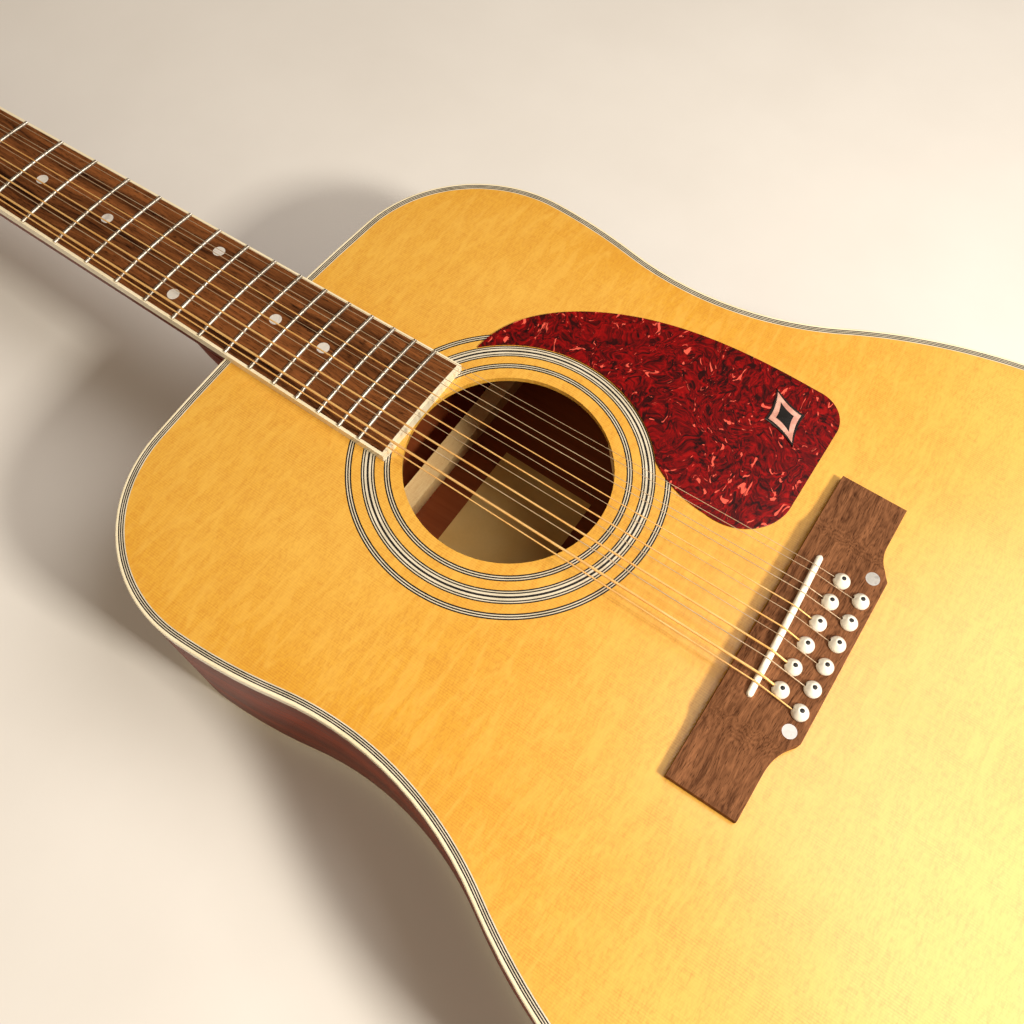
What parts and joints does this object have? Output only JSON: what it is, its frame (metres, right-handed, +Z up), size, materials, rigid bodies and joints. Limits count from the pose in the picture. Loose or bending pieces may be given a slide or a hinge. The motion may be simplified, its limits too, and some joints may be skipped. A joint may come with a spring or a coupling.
{
  "type": "acoustic guitar",
  "caption": "Flat-top dreadnought acoustic guitar with paired strings, slanted saddle, pinned bridge, pickguard and geared tuners whose knobs turn the string posts.",
  "frame": {"origin": "on the back, on the centreline, at the middle of the body's length", "axes": "+Z up out of the soundboard side with the guitar lying on its back, +Y towards the headstock, +X towards the treble side"},
  "size_m": [0.4042, 1.0786, 0.1251],
  "materials": {
    "spruce_top": "clear gloss lacquer over spruce",
    "mahogany_gloss": "gloss lacquer over mahogany",
    "mahogany_raw": "bare sanded wood",
    "spruce_brace": "bare sanded wood",
    "rosewood": "oiled, open pored",
    "label_paper": null,
    "ivory_binding": "polished",
    "purfling": "black and white lines, lacquered",
    "rosette_inlay": "black and white rings, lacquered",
    "tortoise": "polished, marbled red",
    "ornament": "polished",
    "bone": "satin",
    "pin_plastic": "polished",
    "pearl": "mother of pearl",
    "steel": "satin",
    "black_plastic": "polished",
    "fret_nickel": "polished nickel silver",
    "black_veneer": "gloss lacquer",
    "bronze_wound": "bronze winding",
    "steel_string": "plain steel",
    "nickel_plate": "nickel plated",
    "tuner_chrome": "nickel plated, polished"
  },
  "bodies": {
    "root": {"soundboard": "spruce_top", "back": "mahogany_gloss", "rim_bass": "mahogany_gloss", "rim_treble": "mahogany_gloss", "neck_block": "mahogany_raw", "tail_block": "mahogany_raw", "linings": "mahogany_raw", "top_braces": "spruce_brace", "bridge_plate": "rosewood", "back_braces": "spruce_brace", "label": "label_paper", "top_binding": "ivory_binding", "top_purfling": "purfling", "back_binding": "ivory_binding", "rosette": "rosette_inlay", "pickguard": "tortoise", "pickguard_ornament": "ornament", "bridge": "rosewood", "saddle": "bone", "bridge_pins": "pin_plastic", "bridge_pearl_dots": "pearl", "screws_and_bolts": "steel", "neck": "mahogany_gloss", "truss_rod": "steel", "truss_rod_cover": "black_plastic", "fingerboard": "rosewood", "fingerboard_binding": "ivory_binding", "frets": "fret_nickel", "position_markers": "pearl", "nut": "bone", "headstock_veneer": "black_veneer", "heel_cap": "ivory_binding", "strap_button": "pin_plastic", "strings_wound": "bronze_wound", "strings_plain": "steel_string", "tuner_strips": "nickel_plate"},
    "post_1": {"string_post_1": "nickel_plate"},
    "knob_1": {"tuner_knob_1": "tuner_chrome"},
    "post_2": {"string_post_2": "nickel_plate"},
    "knob_2": {"tuner_knob_2": "tuner_chrome"},
    "post_3": {"string_post_3": "nickel_plate"},
    "knob_3": {"tuner_knob_3": "tuner_chrome"},
    "post_4": {"string_post_4": "nickel_plate"},
    "knob_4": {"tuner_knob_4": "tuner_chrome"},
    "post_5": {"string_post_5": "nickel_plate"},
    "knob_5": {"tuner_knob_5": "tuner_chrome"},
    "post_6": {"string_post_6": "nickel_plate"},
    "knob_6": {"tuner_knob_6": "tuner_chrome"},
    "post_7": {"string_post_7": "nickel_plate"},
    "knob_7": {"tuner_knob_7": "tuner_chrome"},
    "post_8": {"string_post_8": "nickel_plate"},
    "knob_8": {"tuner_knob_8": "tuner_chrome"},
    "post_9": {"string_post_9": "nickel_plate"},
    "knob_9": {"tuner_knob_9": "tuner_chrome"},
    "post_10": {"string_post_10": "nickel_plate"},
    "knob_10": {"tuner_knob_10": "tuner_chrome"},
    "post_11": {"string_post_11": "nickel_plate"},
    "knob_11": {"tuner_knob_11": "tuner_chrome"},
    "post_12": {"string_post_12": "nickel_plate"},
    "knob_12": {"tuner_knob_12": "tuner_chrome"}
  },
  "joints": [
    {"name": "knob_turn_1", "type": "hinge", "parent": "root", "child": "knob_1", "pos_m": [-0.0255, 0.6561, 0.05355], "axis": [-1, 0, 0], "continuous": true},
    {"name": "post_turn_1", "type": "hinge", "parent": "root", "child": "post_1", "pos_m": [-0.0255, 0.65449, 0.07684], "axis": [0, 0.2817, 0.9595], "continuous": true},
    {"name": "knob_turn_2", "type": "hinge", "parent": "root", "child": "knob_2", "pos_m": [-0.0255, 0.68047, 0.0464], "axis": [-1, 0, 0], "continuous": true},
    {"name": "post_turn_2", "type": "hinge", "parent": "root", "child": "post_2", "pos_m": [-0.0255, 0.67886, 0.06969], "axis": [0, 0.2817, 0.9595], "continuous": true},
    {"name": "knob_turn_3", "type": "hinge", "parent": "root", "child": "knob_3", "pos_m": [-0.0255, 0.70484, 0.03924], "axis": [-1, 0, 0], "continuous": true},
    {"name": "post_turn_3", "type": "hinge", "parent": "root", "child": "post_3", "pos_m": [-0.0255, 0.70324, 0.06254], "axis": [0, 0.2817, 0.9595], "continuous": true},
    {"name": "knob_turn_4", "type": "hinge", "parent": "root", "child": "knob_4", "pos_m": [-0.0255, 0.72921, 0.03209], "axis": [-1, 0, 0], "continuous": true},
    {"name": "post_turn_4", "type": "hinge", "parent": "root", "child": "post_4", "pos_m": [-0.0255, 0.72761, 0.05538], "axis": [0, 0.2817, 0.9595], "continuous": true},
    {"name": "knob_turn_5", "type": "hinge", "parent": "root", "child": "knob_5", "pos_m": [-0.0255, 0.75358, 0.02493], "axis": [-1, 0, 0], "continuous": true},
    {"name": "post_turn_5", "type": "hinge", "parent": "root", "child": "post_5", "pos_m": [-0.0255, 0.75198, 0.04823], "axis": [0, 0.2817, 0.9595], "continuous": true},
    {"name": "knob_turn_6", "type": "hinge", "parent": "root", "child": "knob_6", "pos_m": [-0.0255, 0.77795, 0.01778], "axis": [-1, 0, 0], "continuous": true},
    {"name": "post_turn_6", "type": "hinge", "parent": "root", "child": "post_6", "pos_m": [-0.0255, 0.77635, 0.04107], "axis": [0, 0.2817, 0.9595], "continuous": true},
    {"name": "knob_turn_7", "type": "hinge", "parent": "root", "child": "knob_7", "pos_m": [0.0255, 0.77795, 0.01778], "axis": [1, 0, 0], "continuous": true},
    {"name": "post_turn_7", "type": "hinge", "parent": "root", "child": "post_7", "pos_m": [0.0255, 0.77635, 0.04107], "axis": [0, 0.2817, 0.9595], "continuous": true},
    {"name": "knob_turn_8", "type": "hinge", "parent": "root", "child": "knob_8", "pos_m": [0.0255, 0.75358, 0.02493], "axis": [1, 0, 0], "continuous": true},
    {"name": "post_turn_8", "type": "hinge", "parent": "root", "child": "post_8", "pos_m": [0.0255, 0.75198, 0.04823], "axis": [0, 0.2817, 0.9595], "continuous": true},
    {"name": "knob_turn_9", "type": "hinge", "parent": "root", "child": "knob_9", "pos_m": [0.0255, 0.72921, 0.03209], "axis": [1, 0, 0], "continuous": true},
    {"name": "post_turn_9", "type": "hinge", "parent": "root", "child": "post_9", "pos_m": [0.0255, 0.72761, 0.05538], "axis": [0, 0.2817, 0.9595], "continuous": true},
    {"name": "knob_turn_10", "type": "hinge", "parent": "root", "child": "knob_10", "pos_m": [0.0255, 0.70484, 0.03924], "axis": [1, 0, 0], "continuous": true},
    {"name": "post_turn_10", "type": "hinge", "parent": "root", "child": "post_10", "pos_m": [0.0255, 0.70324, 0.06254], "axis": [0, 0.2817, 0.9595], "continuous": true},
    {"name": "knob_turn_11", "type": "hinge", "parent": "root", "child": "knob_11", "pos_m": [0.0255, 0.68047, 0.0464], "axis": [1, 0, 0], "continuous": true},
    {"name": "post_turn_11", "type": "hinge", "parent": "root", "child": "post_11", "pos_m": [0.0255, 0.67886, 0.06969], "axis": [0, 0.2817, 0.9595], "continuous": true},
    {"name": "knob_turn_12", "type": "hinge", "parent": "root", "child": "knob_12", "pos_m": [0.0255, 0.6561, 0.05355], "axis": [1, 0, 0], "continuous": true},
    {"name": "post_turn_12", "type": "hinge", "parent": "root", "child": "post_12", "pos_m": [0.0255, 0.65449, 0.07684], "axis": [0, 0.2817, 0.9595], "continuous": true}
  ],
  "couplings": [
    {"joint": "post_turn_1", "follows": "knob_turn_1", "ratio": 0.071429},
    {"joint": "post_turn_2", "follows": "knob_turn_2", "ratio": 0.071429},
    {"joint": "post_turn_3", "follows": "knob_turn_3", "ratio": 0.071429},
    {"joint": "post_turn_4", "follows": "knob_turn_4", "ratio": 0.071429},
    {"joint": "post_turn_5", "follows": "knob_turn_5", "ratio": 0.071429},
    {"joint": "post_turn_6", "follows": "knob_turn_6", "ratio": 0.071429},
    {"joint": "post_turn_7", "follows": "knob_turn_7", "ratio": -0.071429},
    {"joint": "post_turn_8", "follows": "knob_turn_8", "ratio": -0.071429},
    {"joint": "post_turn_9", "follows": "knob_turn_9", "ratio": -0.071429},
    {"joint": "post_turn_10", "follows": "knob_turn_10", "ratio": -0.071429},
    {"joint": "post_turn_11", "follows": "knob_turn_11", "ratio": -0.071429},
    {"joint": "post_turn_12", "follows": "knob_turn_12", "ratio": -0.071429}
  ]
}
